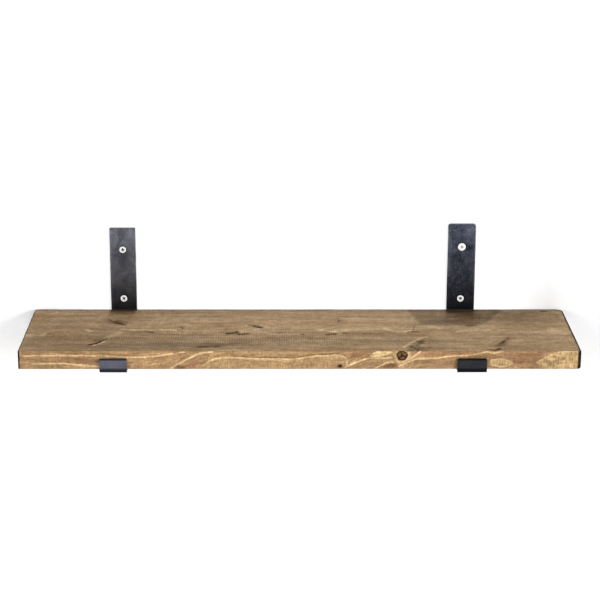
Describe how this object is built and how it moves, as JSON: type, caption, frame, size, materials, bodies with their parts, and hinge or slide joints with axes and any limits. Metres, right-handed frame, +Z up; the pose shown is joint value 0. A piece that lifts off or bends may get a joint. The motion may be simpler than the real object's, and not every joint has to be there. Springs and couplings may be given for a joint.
{
  "type": "wall shelf with brackets",
  "caption": "Solid pine wall shelf on bent flat-steel brackets with front lips, screwed to the wall and to the board.",
  "frame": {"origin": "on the wall plane, midway between the brackets, at the height of the two lower wall screws", "axes": "+X along the board to the right as seen from the room, +Y into the wall, +Z up"},
  "size_m": [0.8, 0.2555, 0.1655],
  "materials": {
    "stained_pine": "rough-sawn pine, brown stain, matt wax",
    "left_bracket_steel": "bare hot-rolled flat bar, mill scale, oiled",
    "right_bracket_steel": "bare hot-rolled flat bar, darker mill scale, oiled",
    "zinc_screws": "bright zinc plate",
    "bright_screw": "bright nickel plate",
    "dark_screws": "black phosphate"
  },
  "bodies": {
    "root": {"shelf_board": "stained_pine", "bracket_left": "left_bracket_steel", "bracket_right": "right_bracket_steel", "wall_screw_left_upper": "zinc_screws", "wall_screw_left_lower": "zinc_screws", "wall_screw_right_upper": "bright_screw", "wall_screw_right_lower": "zinc_screws", "board_screw_left_back": "dark_screws", "board_screw_left_front": "dark_screws", "board_screw_right_back": "dark_screws", "board_screw_right_front": "dark_screws"}
  },
  "joints": []
}
